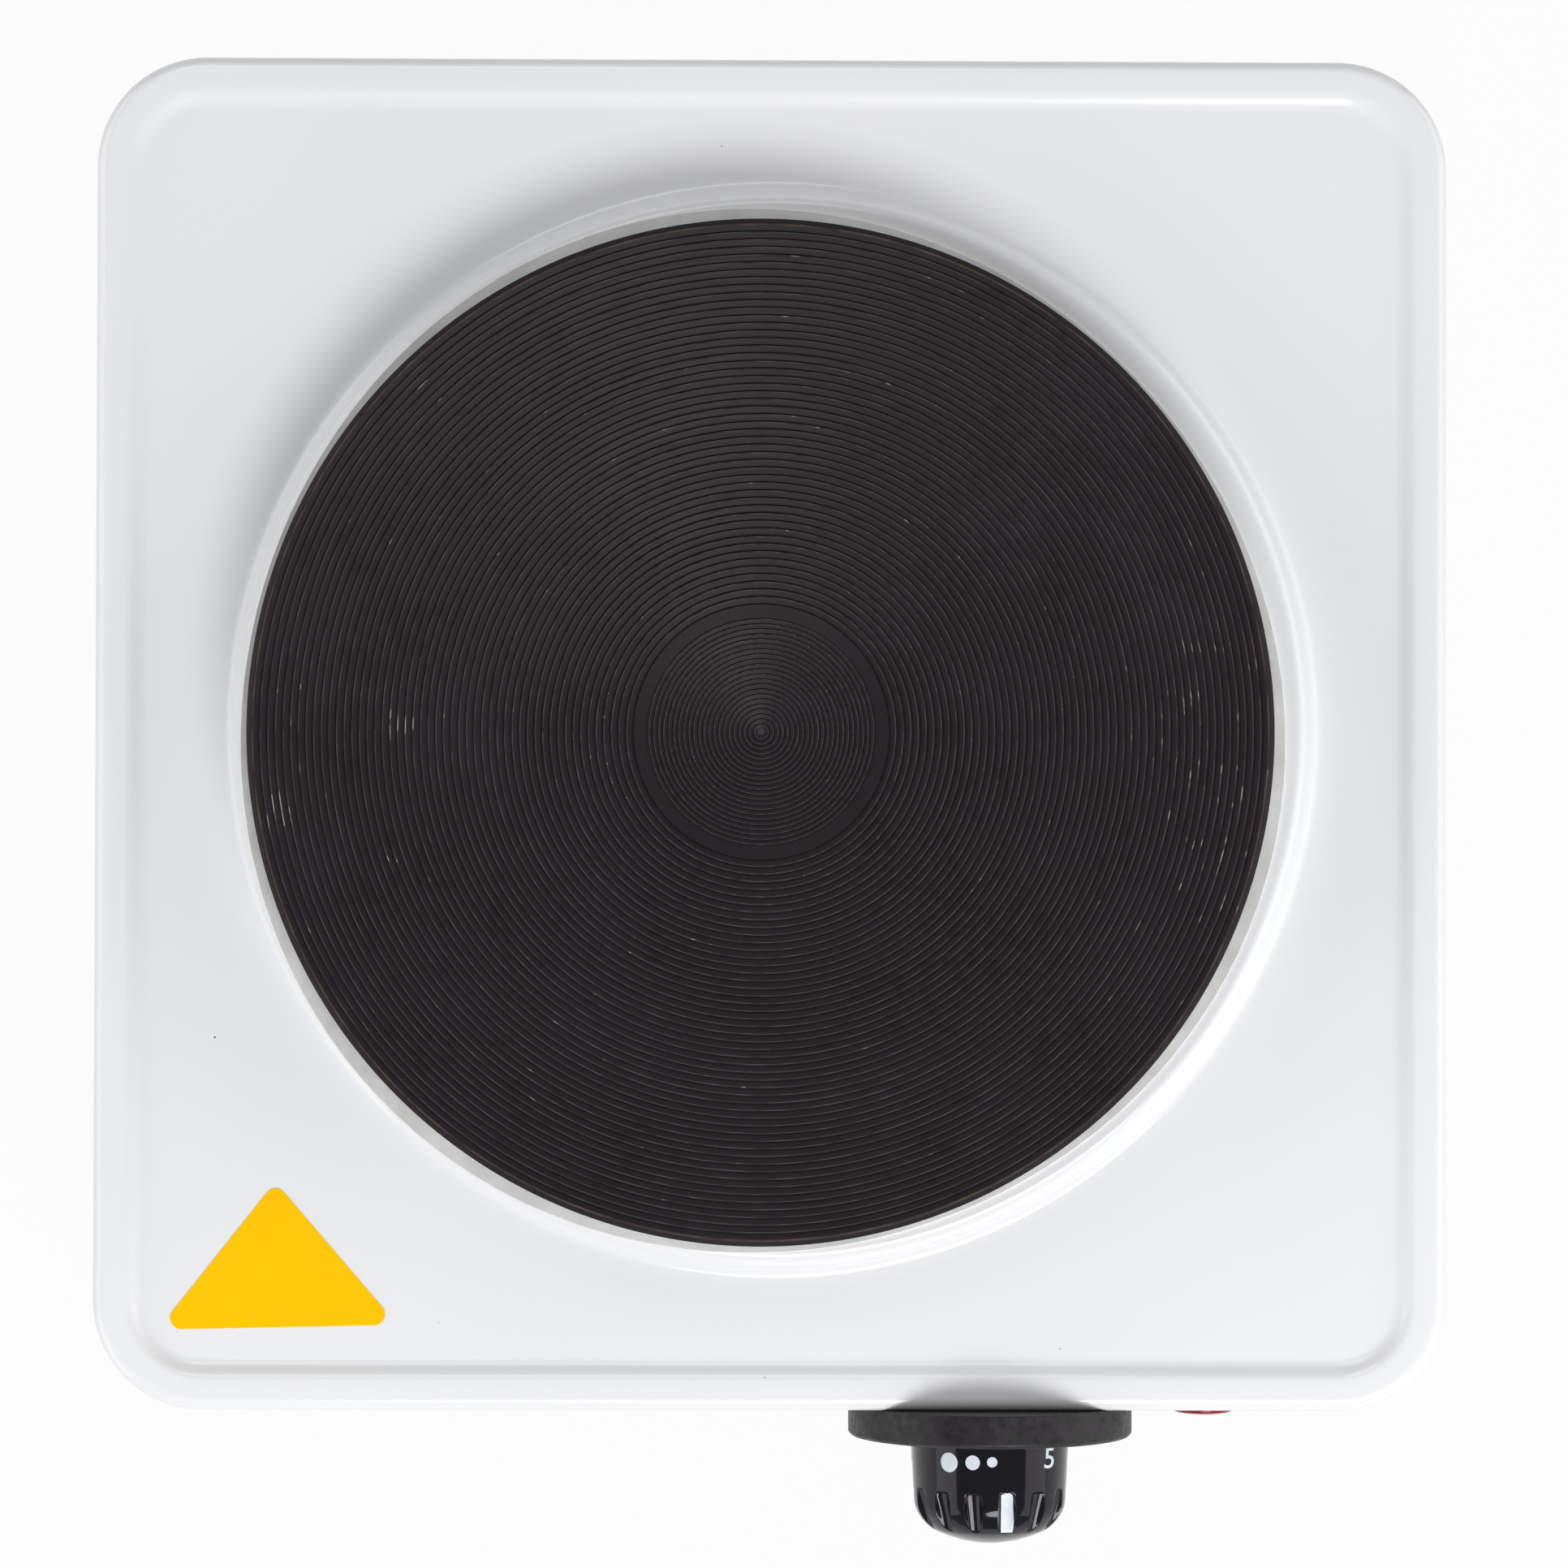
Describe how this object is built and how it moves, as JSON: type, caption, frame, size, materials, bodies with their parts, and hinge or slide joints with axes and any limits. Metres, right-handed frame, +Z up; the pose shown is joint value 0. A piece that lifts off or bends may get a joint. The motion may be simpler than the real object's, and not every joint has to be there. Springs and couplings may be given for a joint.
{
  "type": "hot plate burner",
  "caption": "Portable square electric hot plate with a grooved round cast iron plate, a fluted control knob and a pilot lamp.",
  "frame": {"origin": "on the table, under the middle of the whole object's box", "axes": "+Z up, -Y towards the user where the knob is, +X to the user's right"},
  "size_m": [0.247, 0.277, 0.075],
  "materials": {
    "enamel": "gloss",
    "seasoned_iron": "matte",
    "pan_steel": "satin",
    "galvanised_sheet": "satin",
    "foot_rubber": "matte",
    "plated_steel": "satin",
    "resistance_wire": "matte",
    "magnesia_cement": "matte",
    "porcelain": "gloss",
    "terminal_brass": "satin",
    "bimetal": "satin",
    "cam_plastic": "matte",
    "bezel_phenolic": "matte",
    "knob_phenolic": "gloss",
    "lens_red": "gloss",
    "bulb_glass": "gloss",
    "holder_nylon": "satin",
    "clamp_nylon": "satin",
    "brown_wire": "satin",
    "black_wire": "satin",
    "blue_wire": "satin",
    "green_yellow_wire": "satin",
    "white_lead": "satin",
    "yellow_sticker": "satin"
  },
  "bodies": {
    "base": {"base_plate": "galvanised_sheet", "bezel_screws": "plated_steel", "bimetal_strip": "bimetal", "blade_screws": "plated_steel", "block_screws": "plated_steel", "bridge_bracket": "galvanised_sheet", "cast_iron_plate": "seasoned_iron", "clamp_screws": "plated_steel", "contact_blade": "terminal_brass", "contact_rivets": "terminal_brass", "contact_spacer": "porcelain", "cord_clamp": "clamp_nylon", "cord_gland": "foot_rubber", "earth_screw": "plated_steel", "earth_terminal": "terminal_brass", "earth_wire": "green_yellow_wire", "fixed_contact": "terminal_brass", "foot_screws": "plated_steel", "heater_pan": "pan_steel", "heater_pins": "plated_steel", "heating_coil": "resistance_wire", "housing": "enamel", "insulating_cement": "magnesia_cement", "knob_bezel": "bezel_phenolic", "lamp_holder": "holder_nylon", "lamp_leads": "white_lead", "lamp_lens": "lens_red", "lamp_ring": "plated_steel", "lever_pin": "plated_steel", "live_wire": "brown_wire", "neon_bulb": "bulb_glass", "neutral_wire": "blue_wire", "panel_sticker": "yellow_sticker", "pin_bushings": "porcelain", "pin_nuts": "plated_steel", "pin_terminals": "terminal_brass", "plate_cover": "galvanised_sheet", "plate_stud": "plated_steel", "rubber_feet": "foot_rubber", "shaft_bushing": "terminal_brass", "stud_nut": "plated_steel", "stud_washer": "plated_steel", "switch_block": "porcelain", "switched_wire": "black_wire", "tab_receptacles": "terminal_brass", "terminal_block": "porcelain", "terminal_block_screws": "plated_steel", "terminal_screws": "plated_steel", "terminal_sleeves": "terminal_brass", "thermostat_frame": "galvanised_sheet"},
    "knob": {"knob": "knob_phenolic", "knob_spring": "plated_steel", "control_shaft": "plated_steel", "shaft_clip": "plated_steel", "spiral_cam": "cam_plastic"},
    "lever": {"cam_lever": "plated_steel", "calibration_screw": "plated_steel"}
  },
  "joints": [
    {"name": "knob_turn", "type": "hinge", "parent": "base", "child": "knob", "pos_m": [0.041, -0.1125, 0.042], "axis": [0, 1, 0], "range_deg": [0, 290]},
    {"name": "lever_lift", "type": "hinge", "parent": "base", "child": "lever", "pos_m": [0.055, -0.104, 0.03223], "axis": [0, 1, 0], "range_deg": [-6.2, 0.05]}
  ],
  "couplings": [
    {"joint": "lever_lift", "follows": "knob_turn", "ratio": -0.021168}
  ]
}
